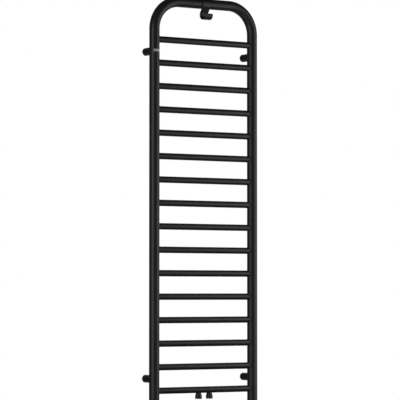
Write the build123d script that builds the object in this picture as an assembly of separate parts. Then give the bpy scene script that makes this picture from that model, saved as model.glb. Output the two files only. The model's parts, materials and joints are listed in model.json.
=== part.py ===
from build123d import *
import os
from math import asin, atan2, cos, degrees, hypot, radians, sin

# Towel warmer rack: a wall-hung hot-water radiator of bent and straight steel tube.
# Frame: the origin is on the wall, midway between the four wall fixings.
# +X is to the right of a person facing the rack, +Y goes into the wall, +Z is up.
# All sizes are in millimetres.

# Tube frame
TUBE_R = 20.0  # uprights and arch
TUBE_WALL = 1.5
TUBE_Y = -65.0  # plane of all tube axes, in front of the wall
UPRIGHT_SPACING = 455.0
BEND_R = 110.0  # arch corners, on the tube's axis
ARCH_RISE = 150.0  # from the top rung's axis to the top bar's axis
ARCH_LEG = 15.0  # straight tube below each bend, down to the joint with the upright
TAIL = 80.0  # from the lowest rung's axis to the underside of the rack

# Rungs
RUNG_R = 12.5
RUNG_WALL = 1.5
RUNG_COUNT = 16
RUNG_PITCH = 90.0

# Closed lower ends of the uprights
CAP_THICK = 3.0
CAP_SPIGOT = 4.0
CAP_EDGE_R = 1.5

# Pipe connections under the lowest rung
PORT_SPACING = 50.0
PORT_DROP = 35.0  # from the lowest rung's axis to the mouth
PORT_R = 13.25
PORT_STRAIGHT = 12.5
PORT_TOP_R = 9.75  # where the cone meets the rung's underside
PORT_THREAD_R = 9.3155  # minor radius of a G 1/2 internal thread
PORT_THREAD_DEPTH = 15.0
PORT_PASSAGE_R = 7.0
PORT_EDGE = 0.8
BAFFLE_THICK = 1.5

# Wall brackets, midway between the end pairs of rungs
SLEEVE_R = 15.0
SLEEVE_BORE_R = 12.0
SLEEVE_FRONT_GAP = 0.5  # between the sleeve and the back of the upright
SLEEVE_REAR_GAP = 0.3  # between the sleeve and the wall cup's flange, fully pushed in
SLEEVE_WEB = 3.0
BOSS_R = 8.0
BOSS_HEIGHT = 11.0
BOSS_TAP_DEPTH = 9.0
CUP_FLANGE = 4.0
CUP_SPIGOT = 20.0
CUP_BORE_R = 8.5
WALL_SCREW_R = 3.25
SLIDING_GAP = 0.05
THREAD_GAP = 0.05
BRACKET_EDGE = 0.8

M8_R = 4.0
M8_CLEARANCE_R = 4.5
M8_HEAD_R = 6.5
M8_HEAD_HEIGHT = 5.0
M8_SOCKET_ACROSS = 5.0
M8_SOCKET_DEPTH = 3.0
M5_R = 2.5
M5_SOCKET_ACROSS = 2.5
M5_SOCKET_DEPTH = 1.8
GRUB_BEHIND_WEB = 20.0

# Air vent on the back of the top bar
VENT_X = -98.0
VENT_BOSS_R = 9.0
VENT_BOSS_HEIGHT = 7.0
VENT_THREAD_R = 6.6
VENT_PASSAGE_R = 5.0
VENT_STEM = 5.5
VENT_SEAL_GAP = 1.4
VENT_SEAL_R = 7.5
VENT_HEX_ACROSS = 17.0
VENT_HEX_THICK = 3.6
VENT_HEX_CHAMFER = 1.0  # on the hexagon's corners
VENT_NECK_R = 5.0
VENT_NECK = 8.0
VENT_LIP_R = 5.6
VENT_LIP = 1.2
NOZZLE_R = 8.0
NOZZLE_EDGE_R = 0.8
NOZZLE_END_GAP = 0.2
SPOUT_R = 2.0
SPOUT_BORE_R = 1.0
SPOUT_REACH = 13.0
BLEED_R = 2.5
BLEED_TIP = 2.0
BLEED_SQUARE = 5.0
BLEED_HEAD = 4.5

# Robe hook: a bent strip that clips over the top bar on a plastic liner
HOOK_WIDTH = 37.0
HOOK_THICK = 3.0
LINER_WIDTH = 36.0
LINER_THICK = 0.7
WRAP_PAST_REAR = 25.0  # degrees below the bar's rear
HOOK_REACH = 17.7  # from the bar's axis forward to the centre of the J
HOOK_DROP = 44.0  # from the bar's axis down to the centre of the J
HOOK_BEND_R = 18.1  # of the J, at mid thickness
HOOK_LIP = 3.4
HOOK_CORNER_R = 5.0
HOOK_EDGE_R = 0.8

# Blank plate on the left upright
BADGE_ANGLE = 40.0  # degrees each side of the front
BADGE_HEIGHT = 10.0
BADGE_THICK = 0.5

# Derived places
BORE_R = TUBE_R - TUBE_WALL
RUNG_BORE_R = RUNG_R - RUNG_WALL
HALF_SPACING = UPRIGHT_SPACING / 2
RUNG_SPAN = (RUNG_COUNT - 1) * RUNG_PITCH
RUNG_HEIGHTS = [RUNG_SPAN / 2 - i * RUNG_PITCH for i in range(RUNG_COUNT)]
LOWEST_Z = RUNG_HEIGHTS[-1]
BAR_Z = RUNG_HEIGHTS[0] + ARCH_RISE
ARCH_FOOT_Z = BAR_Z - BEND_R - ARCH_LEG
BOTTOM_Z = LOWEST_Z - TAIL
BRACKET_Z = RUNG_HEIGHTS[0] - RUNG_PITCH / 2
REAR_Y = TUBE_Y + TUBE_R
SIDES = {"left": -1, "right": 1}
LEVELS = {"top": 1, "bottom": -1}
CORNERS = {
    f"{level}_{side}": (SIDES[side] * HALF_SPACING, LEVELS[level] * BRACKET_Z)
    for level in LEVELS
    for side in SIDES
}


def rod(radius, start, end):
    """A solid round bar between two points."""
    length = Vector(*end) - Vector(*start)
    face = Plane(origin=start, z_dir=length.normalized()) * Circle(radius)
    return extrude(face, length.length)


def pipe(outer, inner, start, end):
    """A straight tube between two points."""
    return rod(outer, start, end) - rod(inner, start, end)


def bar_along_y(radius, x, z, low, high):
    """A solid round bar that runs straight towards the wall."""
    return rod(radius, (x, low, z), (x, high, z))


def key_socket(across, depth, mouth, direction):
    """The hexagonal pocket of a socket screw, from its mouth inwards."""
    face = Plane(origin=mouth, z_dir=direction) * RegularPolygon(across / 2, 6, major_radius=False)
    return extrude(face, depth)


def strip(path, width, thickness, across):
    """A flat strip that follows a path, with its width along the direction across."""
    section = Plane(origin=path @ 0, x_dir=across, z_dir=path % 0) * Rectangle(width, thickness)
    return sweep(section, path=path)


def round_rims(solid, radius, size):
    """Rounds the outer circular rims of a given radius."""
    circles = solid.edges().filter_by(GeomType.CIRCLE)
    rims = [edge for edge in circles if abs(edge.radius - radius) < 0.01]
    return fillet(rims, size)


# Tube frame


def upright(x):
    tube = pipe(TUBE_R, BORE_R, (x, TUBE_Y, BOTTOM_Z + CAP_THICK), (x, TUBE_Y, ARCH_FOOT_Z))
    for z in RUNG_HEIGHTS:
        tube -= rod(RUNG_R, (0, TUBE_Y, z), (x, TUBE_Y, z))
    return tube


def top_arch():
    path = FilletPolyline(
        (-HALF_SPACING, TUBE_Y, ARCH_FOOT_Z),
        (-HALF_SPACING, TUBE_Y, BAR_Z),
        (HALF_SPACING, TUBE_Y, BAR_Z),
        (HALF_SPACING, TUBE_Y, ARCH_FOOT_Z),
        radius=BEND_R,
    )
    section = Plane(origin=path @ 0, z_dir=path % 0) * (Circle(TUBE_R) - Circle(BORE_R))
    vent_hole = bar_along_y(VENT_PASSAGE_R, VENT_X, BAR_Z, TUBE_Y, REAR_Y + 1)
    return sweep(section, path=path) - vent_hole


def end_cap(x):
    disc = rod(TUBE_R, (x, TUBE_Y, BOTTOM_Z), (x, TUBE_Y, BOTTOM_Z + CAP_THICK))
    lower_rim = disc.edges().filter_by(GeomType.CIRCLE).sort_by(Axis.Z)[0]
    spigot_end = BOTTOM_Z + CAP_THICK + CAP_SPIGOT
    spigot = rod(BORE_R - SLIDING_GAP, (x, TUBE_Y, BOTTOM_Z + CAP_THICK), (x, TUBE_Y, spigot_end))
    return fillet(lower_rim, CAP_EDGE_R) + spigot


def rung(z):
    """A rung whose ends pass through the uprights' walls and stop flush with their bores."""
    tube = pipe(RUNG_R, RUNG_BORE_R, (-HALF_SPACING, TUBE_Y, z), (HALF_SPACING, TUBE_Y, z))
    for side in SIDES.values():
        x = side * HALF_SPACING
        tube -= rod(BORE_R, (x, TUBE_Y, z - TUBE_R), (x, TUBE_Y, z + TUBE_R))
    return tube


# Pipe connections


def port_passage(x):
    """The water way from a port's thread up into the lowest rung."""
    return rod(PORT_PASSAGE_R, (x, TUBE_Y, LOWEST_Z - PORT_DROP), (x, TUBE_Y, LOWEST_Z))


def port_socket(x):
    mouth = LOWEST_Z - PORT_DROP
    shoulder = mouth + PORT_STRAIGHT
    slope = (PORT_R - PORT_TOP_R) / (PORT_DROP - PORT_STRAIGHT - RUNG_R)
    cone_height = PORT_DROP - PORT_STRAIGHT
    cone = Pos(x, TUBE_Y, shoulder + cone_height / 2) * Cone(
        PORT_R, PORT_R - slope * cone_height, cone_height
    )
    collar = rod(PORT_R, (x, TUBE_Y, mouth), (x, TUBE_Y, shoulder))
    collar = fillet(collar.edges().filter_by(GeomType.CIRCLE).sort_by(Axis.Z)[0], PORT_EDGE)
    thread = rod(PORT_THREAD_R, (x, TUBE_Y, mouth), (x, TUBE_Y, mouth + PORT_THREAD_DEPTH))
    saddle = rod(RUNG_R, (x - TUBE_R, TUBE_Y, LOWEST_Z), (x + TUBE_R, TUBE_Y, LOWEST_Z))
    return collar + cone - thread - port_passage(x) - saddle


def flow_baffle():
    """The disc between the ports that sends the water round through the uprights."""
    half = BAFFLE_THICK / 2
    return rod(RUNG_BORE_R - SLIDING_GAP, (-half, TUBE_Y, LOWEST_Z), (half, TUBE_Y, LOWEST_Z))


# Wall brackets

BOSS_END = REAR_Y + BOSS_HEIGHT
WEB_END = BOSS_END + SLEEVE_WEB
SLEEVE_END = -CUP_FLANGE - SLEEVE_REAR_GAP
GRUB_Y = WEB_END + GRUB_BEHIND_WEB


def bracket_boss(x, z):
    """Welded to the back of an upright, tapped for the sleeve's bolt."""
    boss = bar_along_y(BOSS_R, x, z, TUBE_Y, BOSS_END)
    boss -= rod(TUBE_R, (x, TUBE_Y, z - TUBE_R), (x, TUBE_Y, z + TUBE_R))
    return boss - bar_along_y(M8_R, x, z, BOSS_END - BOSS_TAP_DEPTH, BOSS_END)


def bracket_sleeve(x, z):
    """Bolted to the boss, and slides over the wall cup's spigot."""
    body = bar_along_y(SLEEVE_R, x, z, REAR_Y + SLEEVE_FRONT_GAP, SLEEVE_END)
    body = round_rims(body, SLEEVE_R, BRACKET_EDGE)
    body -= bar_along_y(BOSS_R + SLIDING_GAP, x, z, REAR_Y, BOSS_END)
    body -= bar_along_y(M8_CLEARANCE_R, x, z, BOSS_END, WEB_END)
    body -= bar_along_y(SLEEVE_BORE_R, x, z, WEB_END, SLEEVE_END)
    return body - rod(M5_R, (x, GRUB_Y, z), (x, GRUB_Y, z - SLEEVE_R))


def sleeve_bolt(x, z):
    shank_end = BOSS_END - BOSS_TAP_DEPTH + 1
    head_end = WEB_END + M8_HEAD_HEIGHT
    bolt = bar_along_y(M8_R - THREAD_GAP, x, z, shank_end, WEB_END)
    bolt += bar_along_y(M8_HEAD_R, x, z, WEB_END, head_end)
    return bolt - key_socket(M8_SOCKET_ACROSS, M8_SOCKET_DEPTH, (x, head_end, z), (0, -1, 0))


def grub_screw(x, z):
    """Clamps a sleeve to the spigot inside it, from below."""
    outer = z - SLEEVE_R + THREAD_GAP
    screw = rod(M5_R - THREAD_GAP, (x, GRUB_Y, outer), (x, GRUB_Y, z - SLEEVE_BORE_R))
    return screw - key_socket(M5_SOCKET_ACROSS, M5_SOCKET_DEPTH, (x, GRUB_Y, outer), (0, 0, 1))


def wall_cup(x, z):
    """Screwed to the wall through its floor."""
    flange = round_rims(bar_along_y(SLEEVE_R, x, z, -CUP_FLANGE, 0), SLEEVE_R, BRACKET_EDGE)
    spigot_r = SLEEVE_BORE_R - SLIDING_GAP
    spigot = bar_along_y(spigot_r, x, z, -CUP_FLANGE - CUP_SPIGOT, -CUP_FLANGE)
    pocket = bar_along_y(CUP_BORE_R, x, z, -CUP_FLANGE - CUP_SPIGOT, -CUP_FLANGE)
    return flange + spigot - pocket - bar_along_y(WALL_SCREW_R, x, z, -CUP_FLANGE, 0)


# Air vent

VENT_FACE = REAR_Y + VENT_BOSS_HEIGHT
HEX_START = VENT_FACE + VENT_SEAL_GAP
NECK_START = HEX_START + VENT_HEX_THICK
LIP_START = NECK_START + VENT_NECK
PLUG_END = LIP_START + VENT_LIP


def vent_rod(radius, low, high):
    return bar_along_y(radius, VENT_X, BAR_Z, low, high)


def vent_boss():
    boss = vent_rod(VENT_BOSS_R, TUBE_Y, VENT_FACE)
    boss -= rod(TUBE_R, (VENT_X - TUBE_R, TUBE_Y, BAR_Z), (VENT_X + TUBE_R, TUBE_Y, BAR_Z))
    return boss - vent_rod(VENT_THREAD_R, TUBE_Y, VENT_FACE)


def vent_plug():
    plug = vent_rod(VENT_THREAD_R - THREAD_GAP, VENT_FACE - VENT_STEM, HEX_START)
    hexagon = Plane(origin=(VENT_X, HEX_START, BAR_Z), z_dir=(0, 1, 0)) * RegularPolygon(
        VENT_HEX_ACROSS / 2, 6, major_radius=False
    )
    turned = vent_rod(VENT_HEX_ACROSS / 2 / cos(radians(30)), HEX_START, NECK_START)
    turned = chamfer(turned.edges().filter_by(GeomType.CIRCLE), VENT_HEX_CHAMFER)
    plug += extrude(hexagon, VENT_HEX_THICK) & turned
    plug += vent_rod(VENT_NECK_R, NECK_START, LIP_START)
    plug += vent_rod(VENT_LIP_R, LIP_START, PLUG_END)
    outlet_y = (NECK_START + LIP_START) / 2
    outlet = rod(SPOUT_BORE_R, (VENT_X, outlet_y, BAR_Z), (VENT_X, outlet_y, BAR_Z - VENT_LIP_R))
    return plug - vent_rod(BLEED_R + THREAD_GAP, VENT_FACE - VENT_STEM, PLUG_END) - outlet


def vent_seal():
    seal_r = VENT_SEAL_GAP / 2
    centre = Plane(origin=(VENT_X, VENT_FACE + seal_r, BAR_Z), z_dir=(0, 1, 0))
    return centre * Torus(VENT_SEAL_R, seal_r)


def vent_nozzle():
    """A collar that turns on the plug's neck, with a drip spout."""
    low, high = NECK_START + NOZZLE_END_GAP, LIP_START - NOZZLE_END_GAP
    middle = (low + high) / 2
    spout_end = (VENT_X, middle, BAR_Z - SPOUT_REACH)
    nozzle = round_rims(vent_rod(NOZZLE_R, low, high), NOZZLE_R, NOZZLE_EDGE_R)
    nozzle += rod(SPOUT_R, (VENT_X, middle, BAR_Z), spout_end)
    nozzle -= vent_rod(VENT_NECK_R + SLIDING_GAP, low, high)
    return nozzle - rod(SPOUT_BORE_R, (VENT_X, middle, BAR_Z), spout_end)


def bleed_screw():
    """Turned with a square key to let the air out, with a conical tip."""
    tip = VENT_FACE - VENT_STEM
    screw = vent_rod(BLEED_R, tip + BLEED_TIP, PLUG_END)
    cone = Cone(0.5, BLEED_R, BLEED_TIP)
    screw += Plane(origin=(VENT_X, tip + BLEED_TIP / 2, BAR_Z), z_dir=(0, 1, 0)) * cone
    face = Plane(origin=(VENT_X, PLUG_END, BAR_Z), z_dir=(0, 1, 0))
    return screw + extrude(face * Rectangle(BLEED_SQUARE, BLEED_SQUARE), BLEED_HEAD)


# Robe hook

LINER_R = TUBE_R + SLIDING_GAP + LINER_THICK / 2
WRAP_R = LINER_R + LINER_THICK / 2 + SLIDING_GAP + HOOK_THICK / 2


def hook_leave_angle():
    """Degrees below the bar's front at which the strip leaves it, straight towards the J."""
    between_centres = hypot(HOOK_REACH, HOOK_DROP)
    crossing = asin((WRAP_R + HOOK_BEND_R) / between_centres)
    return degrees(crossing - atan2(HOOK_REACH, HOOK_DROP))


def side_arc(radius, centre, start, turn):
    """An arc seen from the right-hand side, with Y across and Z up."""
    return Plane.YZ * CenterArc(centre, radius, start, turn)


def side_line(start, end):
    return Plane.YZ * Line(start, end)


def hook_path():
    leave = hook_leave_angle()
    bar = (TUBE_Y, BAR_Z)
    bend = (TUBE_Y - HOOK_REACH, BAR_Z - HOOK_DROP)
    off_bar = (bar[0] - WRAP_R * cos(radians(leave)), bar[1] - WRAP_R * sin(radians(leave)))
    on_bend = (
        bend[0] + HOOK_BEND_R * cos(radians(leave)),
        bend[1] + HOOK_BEND_R * sin(radians(leave)),
    )
    lip_foot = (bend[0] - HOOK_BEND_R, bend[1])
    return Wire(
        [
            side_arc(WRAP_R, bar, -WRAP_PAST_REAR, 180 + WRAP_PAST_REAR + leave),
            side_line(off_bar, on_bend),
            side_arc(HOOK_BEND_R, bend, leave, -180 - leave),
            side_line(lip_foot, (lip_foot[0], lip_foot[1] + HOOK_LIP)),
        ]
    )


def robe_hook():
    path = hook_path()
    hook = strip(path, HOOK_WIDTH, HOOK_THICK, (1, 0, 0))
    corners = [
        edge
        for edge in hook.edges()
        if abs(edge.length - HOOK_THICK) < 0.01
        and min((edge.center() - path @ end).length for end in (0, 1)) < HOOK_WIDTH / 2 + 0.01
    ]
    hook = fillet(corners, HOOK_CORNER_R)
    side_faces = [face for face in hook.faces() if abs(abs(face.center().X) - HOOK_WIDTH / 2) < 0.01]
    return fillet([edge for face in side_faces for edge in face.edges()], HOOK_EDGE_R)


def hook_liner():
    turn = 180 + WRAP_PAST_REAR + hook_leave_angle()
    path = Wire([side_arc(LINER_R, (TUBE_Y, BAR_Z), -WRAP_PAST_REAR, turn)])
    return strip(path, LINER_WIDTH, LINER_THICK, (1, 0, 0))


# Blank plate


def blank_badge():
    radius = TUBE_R + (BADGE_THICK + SLIDING_GAP) / 2
    level = Plane(origin=(-HALF_SPACING, TUBE_Y, BRACKET_Z))
    arc = level * CenterArc((0, 0), radius, -90 - BADGE_ANGLE, 2 * BADGE_ANGLE)
    return strip(Wire([arc]), BADGE_HEIGHT, BADGE_THICK - SLIDING_GAP, (0, 0, 1))


def at_corners(make):
    """Four identical fasteners in one group."""
    return Compound(children=[make(x, z) for x, z in CORNERS.values()])


nodes = {
    "top_arch": top_arch(),
    "flow_baffle": flow_baffle(),
    "vent_boss": vent_boss(),
    "vent_plug": vent_plug(),
    "vent_seal": vent_seal(),
    "vent_nozzle": vent_nozzle(),
    "bleed_screw": bleed_screw(),
    "robe_hook": robe_hook(),
    "hook_liner": hook_liner(),
    "blank_badge": blank_badge(),
    "sleeve_bolts": at_corners(sleeve_bolt),
    "grub_screws": at_corners(grub_screw),
}
for side, sign in SIDES.items():
    nodes[f"upright_{side}"] = upright(sign * HALF_SPACING)
    nodes[f"end_cap_{side}"] = end_cap(sign * HALF_SPACING)
    nodes[f"port_socket_{side}"] = port_socket(sign * PORT_SPACING / 2)
for number, height in enumerate(RUNG_HEIGHTS, 1):
    nodes[f"rung_{number:02d}"] = rung(height)
for side in SIDES.values():
    nodes[f"rung_{RUNG_COUNT:02d}"] -= port_passage(side * PORT_SPACING / 2)
for corner, (x, z) in CORNERS.items():
    nodes[f"bracket_boss_{corner}"] = bracket_boss(x, z)
    nodes[f"bracket_sleeve_{corner}"] = bracket_sleeve(x, z)
    nodes[f"wall_cup_{corner}"] = wall_cup(x, z)

os.makedirs("parts", exist_ok=True)
for name, shape in nodes.items():
    export_step(shape, f"parts/{name}.step")
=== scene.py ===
import json
from math import cos, pi, radians, sin, sqrt

import bpy
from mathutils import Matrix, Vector, noise


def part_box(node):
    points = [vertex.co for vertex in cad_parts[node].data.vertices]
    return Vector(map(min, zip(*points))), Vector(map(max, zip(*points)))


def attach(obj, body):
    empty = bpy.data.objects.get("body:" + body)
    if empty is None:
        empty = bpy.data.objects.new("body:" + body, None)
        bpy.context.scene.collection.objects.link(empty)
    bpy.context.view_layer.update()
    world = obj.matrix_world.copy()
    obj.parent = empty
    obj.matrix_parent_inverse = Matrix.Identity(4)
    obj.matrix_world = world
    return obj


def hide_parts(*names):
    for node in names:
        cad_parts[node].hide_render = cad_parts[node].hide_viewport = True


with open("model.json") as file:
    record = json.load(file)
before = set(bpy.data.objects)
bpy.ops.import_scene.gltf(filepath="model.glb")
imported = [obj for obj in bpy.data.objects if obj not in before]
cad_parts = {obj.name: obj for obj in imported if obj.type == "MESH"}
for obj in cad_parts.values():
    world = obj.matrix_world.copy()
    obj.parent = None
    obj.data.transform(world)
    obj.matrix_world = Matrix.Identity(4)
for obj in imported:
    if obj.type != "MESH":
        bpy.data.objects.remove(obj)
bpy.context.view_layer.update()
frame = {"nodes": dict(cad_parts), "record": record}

# A black, wall-hung towel warmer rack in a white studio. Sizes are in metres, in the frame of the
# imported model: the wall is the plane Y = 0, the front faces -Y and Z is up.

scene = bpy.context.scene
MM = 0.001


def centre_of(node):
    low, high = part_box(node)
    return (low + high) / 2


def size_of(node):
    low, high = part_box(node)
    return high - low


UPRIGHTS = {side: centre_of(f"upright_{side}") for side in ("left", "right")}
TUBE_R = size_of("upright_left").x / 2
TUBE_Y = UPRIGHTS["left"].y
RUNGS = sorted(name for name in frame["nodes"] if name.startswith("rung_"))
RUNG_R = size_of("rung_01").z / 2
BAR_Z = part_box("top_arch")[1].z - TUBE_R
VENT = centre_of("vent_boss")
LOWEST_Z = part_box("end_cap_left")[0].z


def add_object(name, data):
    made = bpy.data.objects.new(name, data)
    scene.collection.objects.link(made)
    return made


# ---------------------------------------------------------------- camera

VIEW_TURN = radians(33.3)  # the camera stands this far to the left of straight in front
VIEW_DISTANCE = 9.175  # along the line of sight, to the plane of the tubes
VIEW_ASIDE = 0.015  # the rack's middle is this far to the right of the line of sight
VIEW_HEIGHT = -0.3022
VIEW_TILT = radians(2.2626)
VIEW_LENS = 212.61
SENSOR = 36.0


def make_camera():
    data = bpy.data.cameras.new("camera")
    data.sensor_width = SENSOR
    data.lens = VIEW_LENS
    data.clip_end = 60
    camera = add_object("camera", data)
    ahead = Vector((sin(VIEW_TURN), cos(VIEW_TURN), 0))
    aside = Vector((cos(VIEW_TURN), -sin(VIEW_TURN), 0))
    camera.location = Vector((0, TUBE_Y, VIEW_HEIGHT)) - ahead * VIEW_DISTANCE - aside * VIEW_ASIDE
    camera.rotation_euler = (pi / 2 + VIEW_TILT, 0, -VIEW_TURN)
    scene.camera = camera


# ---------------------------------------------------------------- node helpers


class Tree:
    """A node tree that is written one short call at a time."""

    def __init__(self, owner):
        owner.use_nodes = True
        self.tree = owner.node_tree
        self.tree.nodes.clear()

    def add(self, kind, inputs=None, **settings):
        """Adds a node. A value in inputs is a number or colour, or another node's output."""
        node = self.tree.nodes.new("ShaderNode" + kind)
        for name, value in settings.items():
            setattr(node, name, value)
        for name, value in (inputs or {}).items():
            socket = node.inputs[name]
            if isinstance(value, bpy.types.NodeSocket):
                self.tree.links.new(value, socket)
            else:
                socket.default_value = value
        return node

    def maths(self, operation, first, second=0.0):
        return self.add("Math", {0: first, 1: second}, operation=operation).outputs[0]

    def spread(self, value, low, high, new_low=0.0, new_high=1.0):
        """Maps a value's range onto another and clamps it."""
        limits = {"From Min": low, "From Max": high, "To Min": new_low, "To Max": new_high}
        return self.add("MapRange", {"Value": value, **limits}).outputs["Result"]

    def place(self, stretch=(1, 1, 1), origin=(0, 0, 0)):
        """Coordinates on the object in metres, counted from an origin and then stretched."""
        spot = self.add("TexCoord").outputs["Object"]
        shifted = self.add("VectorMath", {0: spot, 1: origin}, operation="SUBTRACT").outputs[0]
        return self.add("VectorMath", {0: shifted, 1: stretch}, operation="MULTIPLY").outputs[0]

    def noise(self, place, scale, detail=2.0, rough=0.5):
        inputs = {"Vector": place, "Scale": scale, "Detail": detail, "Roughness": rough}
        return self.add("TexNoise", inputs).outputs["Fac"]

    def mix(self, factor, first, second):
        """Mixes two colours or colour outputs."""
        return self.add("Mix", {0: factor, 6: first, 7: second}, data_type="RGBA").outputs[2]

    def bump(self, height, depth, under=None):
        """Relief of a given depth in metres, on top of another if one is given."""
        inputs = {"Height": height, "Distance": depth, "Strength": 1.0}
        if under is not None:
            inputs["Normal"] = under
        return self.add("Bump", inputs).outputs[0]

    def edges(self, reach):
        """1 along sharp edges and 0 on open faces, within a reach in metres."""
        soft = self.add("Bevel", {"Radius": reach}, samples=4).outputs[0]
        hard = self.add("NewGeometry").outputs["Normal"]
        along = self.add("VectorMath", {0: soft, 1: hard}, operation="DOT_PRODUCT").outputs["Value"]
        return self.spread(along, 0.98, 0.8)

    def facing_up(self):
        normal = self.add("NewGeometry").outputs["Normal"]
        return self.add("SeparateXYZ", {0: normal}).outputs["Z"]

    def finish(self, **inputs):
        """Adds the shader itself."""
        named = {name.replace("_", " "): value for name, value in inputs.items()}
        shader = self.add("BsdfPrincipled", named)
        out = self.add("OutputMaterial")
        self.tree.links.new(shader.outputs[0], out.inputs["Surface"])


def grey(value, tint=0.0):
    """A grey, warm for a positive tint and cool for a negative one."""
    return (value * (1 + tint), value, value * (1 - tint), 1)


# ---------------------------------------------------------------- materials


def powder_coat(name):
    """Satin black powder coat: a fine even grain, faint orange peel, thinner along sharp edges."""
    material = bpy.data.materials.new(name)
    tree = Tree(material)
    place = tree.place()
    clouds = tree.noise(place, 14, detail=3)
    grain = tree.noise(place, 1500, detail=1)
    peel = tree.noise(place, 330, detail=2, rough=0.6)
    dust = tree.noise(place, 60, detail=5, rough=0.7)
    edge = tree.edges(0.7 * MM)

    colour = tree.mix(tree.spread(clouds, 0.35, 0.65), grey(0.019, -0.02), grey(0.026, -0.01))
    colour = tree.mix(tree.spread(grain, 0.45, 0.75, 0.0, 0.5), colour, grey(0.05))
    on_top = tree.spread(tree.facing_up(), 0.75, 1.0)
    settled = tree.maths("MULTIPLY", on_top, tree.spread(dust, 0.5, 0.8))
    colour = tree.mix(tree.maths("MULTIPLY", settled, 0.25), colour, grey(0.16, 0.05))
    colour = tree.mix(tree.maths("MULTIPLY", edge, 0.35), colour, grey(0.09))

    rough = tree.spread(clouds, 0.3, 0.7, 0.385, 0.435)
    rough = tree.maths("ADD", rough, tree.spread(grain, 0.4, 0.7, -0.02, 0.04))
    rough = tree.maths("ADD", rough, tree.maths("MULTIPLY", settled, 0.15))
    rough = tree.maths("SUBTRACT", rough, tree.maths("MULTIPLY", edge, 0.08))

    relief = tree.bump(peel, 0.012 * MM)
    relief = tree.bump(grain, 0.004 * MM, relief)
    tree.finish(Base_Color=colour, Roughness=rough, Normal=relief)
    return material


def moulded_plastic(name):
    """Black nylon with a spark-eroded grain, rubbed lighter along the bar."""
    material = bpy.data.materials.new(name)
    tree = Tree(material)
    place = tree.place()
    grain = tree.noise(place, 2400, detail=2)
    clouds = tree.noise(place, 120, detail=3)
    rubs = tree.noise(tree.place((30, 900, 900)), 1, detail=3, rough=0.7)
    edge = tree.edges(0.3 * MM)
    rubbed = tree.spread(rubs, 0.58, 0.75)
    colour = tree.mix(tree.spread(clouds, 0.3, 0.7), grey(0.024), grey(0.034, 0.03))
    colour = tree.mix(tree.maths("MULTIPLY", rubbed, 0.4), colour, grey(0.075))
    colour = tree.mix(tree.maths("MULTIPLY", edge, 0.5), colour, grey(0.08))
    rough = tree.spread(grain, 0.3, 0.7, 0.5, 0.64)
    rough = tree.maths("SUBTRACT", rough, tree.maths("MULTIPLY", rubbed, 0.1))
    relief = tree.bump(rubs, 0.008 * MM, tree.bump(grain, 0.012 * MM))
    tree.finish(Base_Color=colour, Roughness=rough, Normal=relief)
    return material


def seal_rubber(name):
    """Matt black rubber with a light bloom and fine pores."""
    material = bpy.data.materials.new(name)
    tree = Tree(material)
    place = tree.place()
    bloom = tree.noise(place, 500, detail=4, rough=0.65)
    pores = tree.add("TexVoronoi", {"Vector": place, "Scale": 2600.0}).outputs["Distance"]
    colour = tree.mix(tree.spread(bloom, 0.45, 0.8, 0, 0.6), grey(0.016), grey(0.06, 0.04))
    rough = tree.spread(bloom, 0.3, 0.8, 0.72, 0.9)
    tree.finish(Base_Color=colour, Roughness=rough, Normal=tree.bump(pores, 0.02 * MM))
    return material


def nickelled_brass(name):
    """Turned brass under nickel: rings from the lathe, stains, and brass through at the corners."""
    material = bpy.data.materials.new(name)
    tree = Tree(material)
    around_vent = {"Vector": tree.place(origin=VENT), "Scale": 620.0, "Distortion": 0.6}
    rings = tree.add("TexWave", around_vent, wave_type="RINGS", rings_direction="Y").outputs["Fac"]
    stains = tree.noise(tree.place(), 260, detail=4, rough=0.6)
    edge = tree.edges(0.35 * MM)
    bare = tree.maths("MULTIPLY", edge, tree.spread(stains, 0.45, 0.6))
    colour = tree.mix(tree.spread(stains, 0.35, 0.7), grey(0.62, 0.04), grey(0.5, 0.07))
    colour = tree.mix(bare, colour, (0.62, 0.43, 0.2, 1))
    rough = tree.spread(stains, 0.35, 0.7, 0.24, 0.38)
    rough = tree.maths("ADD", rough, tree.maths("MULTIPLY", rings, 0.06))
    tree.finish(Base_Color=colour, Metallic=1.0, Roughness=rough, Normal=tree.bump(rings, 0.004 * MM))
    return material


def zinc_plate(name):
    """Zinc-plated steel: cloudy, with faint yellow and blue patches and duller edges."""
    material = bpy.data.materials.new(name)
    tree = Tree(material)
    place = tree.place()
    clouds = tree.noise(place, 220, detail=4, rough=0.6)
    patches = tree.noise(place, 90, detail=2)
    grain = tree.noise(place, 3000, detail=1)
    colour = tree.mix(tree.spread(patches, 0.35, 0.65), (0.6, 0.6, 0.52, 1), (0.5, 0.55, 0.62, 1))
    colour = tree.mix(tree.spread(clouds, 0.5, 0.8, 0, 0.5), colour, grey(0.36))
    colour = tree.mix(tree.maths("MULTIPLY", tree.edges(0.4 * MM), 0.4), colour, grey(0.3))
    rough = tree.spread(clouds, 0.3, 0.75, 0.28, 0.48)
    tree.finish(Base_Color=colour, Metallic=1.0, Roughness=rough, Normal=tree.bump(grain, 0.004 * MM))
    return material


def blackened_steel(name):
    """Black oxide on steel, oily and uneven, with bare metal at the key pocket's edges."""
    material = bpy.data.materials.new(name)
    tree = Tree(material)
    place = tree.place()
    oil = tree.noise(place, 700, detail=3)
    grain = tree.noise(place, 3500, detail=1)
    colour = tree.mix(tree.spread(oil, 0.35, 0.7), grey(0.035, -0.05), grey(0.07, 0.03))
    colour = tree.mix(tree.maths("MULTIPLY", tree.edges(0.2 * MM), 0.7), colour, grey(0.3))
    rough = tree.spread(oil, 0.3, 0.7, 0.3, 0.5)
    tree.finish(Base_Color=colour, Metallic=0.9, Roughness=rough, Normal=tree.bump(grain, 0.004 * MM))
    return material


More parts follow.
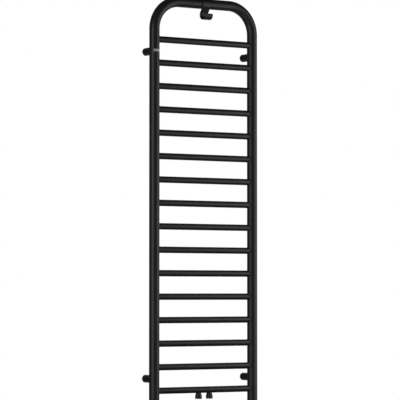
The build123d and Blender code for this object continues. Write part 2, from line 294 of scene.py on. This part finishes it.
def brushed_plate(name):
    """Grey anodised plate, brushed along its length."""
    material = bpy.data.materials.new(name)
    tree = Tree(material)
    brush = tree.noise(tree.place((60, 60, 5200)), 1, detail=3, rough=0.6)
    clouds = tree.noise(tree.place(), 200, detail=3)
    edge = tree.edges(0.2 * MM)
    colour = tree.mix(tree.spread(brush, 0.3, 0.7), grey(0.62), grey(0.74))
    colour = tree.mix(tree.spread(clouds, 0.45, 0.75, 0, 0.35), colour, grey(0.52))
    colour = tree.mix(tree.maths("MULTIPLY", edge, 0.5), colour, grey(0.85))
    rough = tree.spread(brush, 0.3, 0.7, 0.38, 0.52)
    tree.finish(Base_Color=colour, Metallic=0.3, Roughness=rough, Normal=tree.bump(brush, 0.004 * MM))
    return material


FINISHES = {
    "black_paint": powder_coat("black_powder_coat"),
    "black_plastic": moulded_plastic("black_moulded_plastic"),
    "black_rubber": seal_rubber("black_seal_rubber"),
    "nickel_brass": nickelled_brass("nickelled_brass"),
    "plain_steel": zinc_plate("zinc_plated_steel"),
    "black_steel": blackened_steel("blackened_steel"),
    "grey_plate": brushed_plate("grey_brushed_plate"),
}


def dress_nodes():
    """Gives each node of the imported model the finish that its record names."""
    for subpart in frame["record"]["subparts"]:
        slots = frame["nodes"][subpart["node"]].data.materials
        for index in range(len(slots)):
            slots[index] = FINISHES[subpart["material_slot"]]


# ---------------------------------------------------------------- welds

WELD_SINK = 0.3 * MM  # how far a weld's hidden sides lie inside the metal
WELD_POINTS = 7  # across the bead's open face
WELD_SECTIONS = 144  # round the joint
WELD_RIPPLES = 36
ROOT_ROUNDS = 4  # of closing in on where a tapered piece meets the tube
WELD_RIPPLE_SHARE = 0.05  # of the bead's leg
WELD_WANDER_SHARE = 0.16
WELD_FLATNESS = 1.3  # 1 is a quarter round, 2 a flat chamfer


def weld_section(leg):
    """The bead's outline: distance out from the round piece, and height above the tube."""
    face = []
    for j in range(WELD_POINTS):
        angle = pi / 2 * j / (WELD_POINTS - 1)
        face.append((leg * sin(angle) ** WELD_FLATNESS, leg * abs(cos(angle)) ** WELD_FLATNESS))
    return [(-WELD_SINK, leg), *face, (leg, -WELD_SINK), (-WELD_SINK, -WELD_SINK)]


def weld_ring(centre, out, along, piece_r, tube_r, leg, seed, taper=0.0):
    """The vertices and faces of a bead where a round piece stands on a tube.

    centre is on the tube's axis, out is the way that the piece runs, along is the tube's direction.
    taper is how fast the piece narrows towards the tube.
    """
    side = out.cross(along)
    verts = []
    for i in range(WELD_SECTIONS):
        turn = 2 * pi * i / WELD_SECTIONS
        wander = noise.noise(Vector((cos(turn), sin(turn), seed)))
        swell = 1 + WELD_RIPPLE_SHARE * sin(WELD_RIPPLES * turn) + WELD_WANDER_SHARE * wander
        root_r = piece_r
        for _ in range(ROOT_ROUNDS):
            root_r = piece_r - taper * (tube_r - sqrt(tube_r**2 - (root_r * sin(turn)) ** 2))
        for away, height in weld_section(leg * swell):
            radius = root_r + away
            lateral = radius * sin(turn)
            surface = sqrt(tube_r**2 - lateral**2)
            spot = centre + along * (radius * cos(turn)) + side * lateral
            verts.append(spot + out * (surface + height))
    count = len(weld_section(leg))
    faces = []
    for i in range(WELD_SECTIONS):
        here, there = i * count, (i + 1) % WELD_SECTIONS * count
        for j in range(count):
            k = (j + 1) % count
            faces.append((here + j, here + k, there + k, there + j))
    return verts, faces


def weld_piece(name, rings):
    """One painted piece from one or more beads."""
    verts, faces = [], []
    for ring_verts, ring_faces in rings:
        start = len(verts)
        verts += ring_verts
        faces += [tuple(start + corner for corner in face) for face in ring_faces]
    mesh = bpy.data.meshes.new(name)
    mesh.from_pydata(verts, [], faces)
    mesh.validate()
    mesh.shade_smooth()
    mesh.materials.append(FINISHES["black_paint"])
    piece = add_object(name, mesh)
    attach(piece, "radiator")
    return piece


def make_rung_welds(leg=2.0 * MM):
    for side, inward in (("left", 1), ("right", -1)):
        rings = []
        for number, rung in enumerate(RUNGS):
            centre = Vector((UPRIGHTS[side].x, TUBE_Y, centre_of(rung).z))
            out, along = Vector((inward, 0, 0)), Vector((0, 0, 1))
            rings.append(weld_ring(centre, out, along, RUNG_R, TUBE_R, leg, number * 3.1 + inward))
        weld_piece(f"rung_welds_{side}", rings)


def make_socket_welds(leg=1.9 * MM, cone_r=9.75 * MM, taper=0.35):
    for side in ("left", "right"):
        centre = Vector((centre_of(f"port_socket_{side}").x, TUBE_Y, centre_of(RUNGS[-1]).z))
        out, along = Vector((0, 0, -1)), Vector((1, 0, 0))
        ring = weld_ring(centre, out, along, cone_r, RUNG_R, leg, centre.x * 90, taper)
        weld_piece(f"socket_weld_{side}", [ring])


def make_vent_weld(leg=1.5 * MM):
    centre = Vector((VENT.x, TUBE_Y, BAR_Z))
    boss_r = size_of("vent_boss").x / 2
    ring = weld_ring(centre, Vector((0, 1, 0)), Vector((1, 0, 0)), boss_r, TUBE_R, leg, 7.7)
    weld_piece("vent_weld", [ring])


# ---------------------------------------------------------------- threads

THREAD_PITCH = 1.814 * MM  # a G 1/2 thread
THREAD_ROOT_R = 10.478 * MM
THREAD_START_R = 9.2 * MM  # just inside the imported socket's bore
THREAD_DEPTH = 14.0 * MM
THREAD_STEPS = 48  # to a turn
THREAD_RUN_OUT = 0.6  # turns over which the groove ends
THREAD_LAST_SHARE = 0.05  # of the groove's depth, left at its very end
ROOT_HALF = 0.09  # half the groove's width at its root, in pitches
START_HALF = 0.455
MOUTH_CHAMFER_R = 11.0 * MM
CHAMFER_CORNERS = 96
SHARP_ANGLE = radians(24)  # edges that turn more than this stay sharp


def groove_cutter(mouth):
    """A closed helical tooth that cuts the groove, from below the mouth upwards."""
    turns = THREAD_DEPTH / THREAD_PITCH + 1
    count = int(turns * THREAD_STEPS)
    verts, faces = [], []
    for i in range(count + 1):
        done = i / THREAD_STEPS
        share = max(THREAD_LAST_SHARE, min(1.0, (turns - done) / THREAD_RUN_OUT))
        root_r = THREAD_START_R + (THREAD_ROOT_R - THREAD_START_R) * share
        root = ((root_r, -ROOT_HALF), (root_r, ROOT_HALF))
        for radius, half in ((THREAD_START_R, -START_HALF), *root, (THREAD_START_R, START_HALF)):
            around = Vector((cos(2 * pi * done), sin(2 * pi * done), 0)) * radius
            verts.append(mouth + around + Vector((0, 0, (done - 1 + half) * THREAD_PITCH)))
    for i in range(count):
        here, there = 4 * i, 4 * (i + 1)
        for j in range(4):
            k = (j + 1) % 4
            faces.append((here + j, there + j, there + k, here + k))
    faces += [(0, 1, 2, 3), (4 * count + 3, 4 * count + 2, 4 * count + 1, 4 * count)]
    return verts, faces


def chamfer_cutter(mouth):
    """A blunt cone that breaks the mouth's inner edge at 45 degrees."""
    tall = MOUTH_CHAMFER_R - THREAD_START_R
    count = CHAMFER_CORNERS
    verts = []
    for radius, height in ((MOUTH_CHAMFER_R + tall, -tall), (THREAD_START_R, tall)):
        for i in range(count):
            turn = 2 * pi * (i + 0.5) / count
            verts.append(mouth + Vector((radius * cos(turn), radius * sin(turn), height)))
    faces = [(i, (i + 1) % count, count + (i + 1) % count, count + i) for i in range(count)]
    faces += [tuple(reversed(range(count))), tuple(range(count, 2 * count))]
    return verts, faces


def make_threaded_socket(side):
    """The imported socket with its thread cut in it."""
    name = f"port_socket_{side}"
    mouth = Vector((centre_of(name).x, TUBE_Y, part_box(name)[0].z))
    piece = add_object(f"threaded_socket_{side}", frame["nodes"][name].data.copy())
    cutters = []
    for verts, faces in (groove_cutter(mouth), chamfer_cutter(mouth)):
        mesh = bpy.data.meshes.new("cutter")
        mesh.from_pydata(verts, [], faces)
        cutters.append(add_object("cutter", mesh))
        cut = piece.modifiers.new("cut", "BOOLEAN")
        cut.operation = "DIFFERENCE"
        cut.object = cutters[-1]
    graph = bpy.context.evaluated_depsgraph_get()
    mesh = bpy.data.meshes.new_from_object(piece.evaluated_get(graph))
    piece.modifiers.clear()
    piece.data = mesh
    for cutter in cutters:
        bpy.data.objects.remove(cutter)
    mesh.attributes.remove(mesh.attributes["custom_normal"])
    mesh.shade_smooth()
    mesh.set_sharp_from_angle(angle=SHARP_ANGLE)
    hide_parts(name)
    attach(piece, "radiator")


# ---------------------------------------------------------------- studio

FLOOR_DROP = 0.195  # below the rack's lower ends
FLOOR_R = 4.7
FLOOR_CORNERS = 128
FLOOR_FADE = 1.6  # from here outwards the floor fades into the white backdrop
FLOOR_LIGHT = 20
FLOOR_LIGHT_PLACE = (0.5, -1.2, 5.5)
FLOOR_LIGHT_SIZE = (3.0, 3.0)
AIM_REACH = 0.2  # the softboxes aim at heights no further than this from the rack's middle


def make_world(dim=0.012):
    """White where the camera looks past the rack, and nearly dark for everything else."""
    world = bpy.data.worlds.new("studio")
    tree = Tree(world)
    dark = tree.add("Background", {"Color": (1, 1, 1, 1), "Strength": dim}).outputs[0]
    white = tree.add("Background", {"Color": (1, 1, 1, 1), "Strength": 1.0}).outputs[0]
    seen = tree.add("LightPath").outputs["Is Camera Ray"]
    mixed = tree.add("MixShader", {0: seen, 1: dark, 2: white}).outputs[0]
    tree.add("OutputWorld", {"Surface": mixed})
    scene.world = world
    scene.view_settings.view_transform = "Standard"
    scene.view_settings.look = "None"


def area_light(name, place, target, size, radiance):
    data = bpy.data.lights.new(name, "AREA")
    data.shape = "RECTANGLE"
    data.size, data.size_y = size
    data.energy = radiance * pi * size[0] * size[1]
    light = add_object(name, data)
    light.location = place
    light.rotation_euler = (Vector(place) - Vector(target)).to_track_quat("Z", "Y").to_euler()
    light.visible_camera = False
    return light


def softbox(name, turn, distance, heights, width, radiance):
    """A soft light at a turn to the right of straight in front, between two heights, facing the rack."""
    low, high = heights
    spot = Vector((sin(radians(turn)), -cos(radians(turn)), 0)) * distance
    place = Vector((0, TUBE_Y, (low + high) / 2)) + spot
    target = Vector((0, TUBE_Y, max(-AIM_REACH, min(AIM_REACH, place.z))))
    return area_light(name, place, target, (width, high - low), radiance)


SOFTBOXES = {  # turn, distance, heights, width, radiance
    "key_left": (-71, 2.4, (-1.0, 1.3), 1.5, 1.65),
    "key_right": (47, 2.4, (-1.0, 1.3), 1.1, 2.15),
    "side_right": (88, 2.4, (-1.0, 1.3), 1.2, 0.92),
    "fill_low": (-25, 2.2, (-2.5, -1.5), 1.4, 1.4),
    "back_right": (140, 2.4, (-1.6, 2.2), 1.8, 0.42),
    "back_middle": (180, 2.4, (-1.6, 2.2), 1.4, 0.2),
    "back_low": (165, 2.0, (-2.6, -1.6), 2.0, 0.35),
    "overhead": (0, 0.5, (2.8, 3.4), 2.4, 0.25),
}


def make_lights():
    for name, values in SOFTBOXES.items():
        softbox(name, *values)


def light_only(floor, lamp):
    """The lamp lights the floor alone, and the other lights leave the floor to it."""
    floor_set = bpy.data.collections.new("floor_only")
    rest_set = bpy.data.collections.new("all_but_floor")
    for group in (floor_set, rest_set):
        group.objects.link(floor)
    rest_set.collection_objects[0].light_linking.link_state = "EXCLUDE"
    lamp.light_linking.receiver_collection = floor_set
    for name in SOFTBOXES:
        bpy.data.objects[name].light_linking.receiver_collection = rest_set


def make_floor():
    """A plain pale disc that fades out towards its rim, with a light of its own."""
    height = LOWEST_Z - FLOOR_DROP
    turns = [2 * pi * i / FLOOR_CORNERS for i in range(FLOOR_CORNERS)]
    rim = [(FLOOR_R * cos(turn), FLOOR_R * sin(turn), height) for turn in turns]
    mesh = bpy.data.meshes.new("floor")
    mesh.from_pydata(rim, [], [tuple(range(FLOOR_CORNERS))])
    material = bpy.data.materials.new("pale_floor")
    tree = Tree(material)
    place = tree.place()
    flat = tree.add("VectorMath", {0: place, 1: (1, 1, 0)}, operation="MULTIPLY").outputs[0]
    radius = tree.add("VectorMath", {0: flat}, operation="LENGTH").outputs["Value"]
    fade = tree.spread(radius, FLOOR_R - 0.1, FLOOR_FADE)
    specks = tree.noise(place, 40, detail=3)
    colour = tree.mix(specks, grey(0.8), grey(0.84))
    tree.finish(Base_Color=colour, Roughness=0.9, Alpha=fade)
    mesh.materials.append(material)
    floor = add_object("floor", mesh)
    floor.visible_diffuse = False
    floor.visible_glossy = False
    floor.visible_shadow = False
    lamp = area_light("floor_light", FLOOR_LIGHT_PLACE, (0, 0, height), FLOOR_LIGHT_SIZE, FLOOR_LIGHT)
    light_only(floor, lamp)


dress_nodes()
make_rung_welds()
make_socket_welds()
make_vent_weld()
for side in UPRIGHTS:
    make_threaded_socket(side)
make_world()
make_lights()
make_floor()
make_camera()
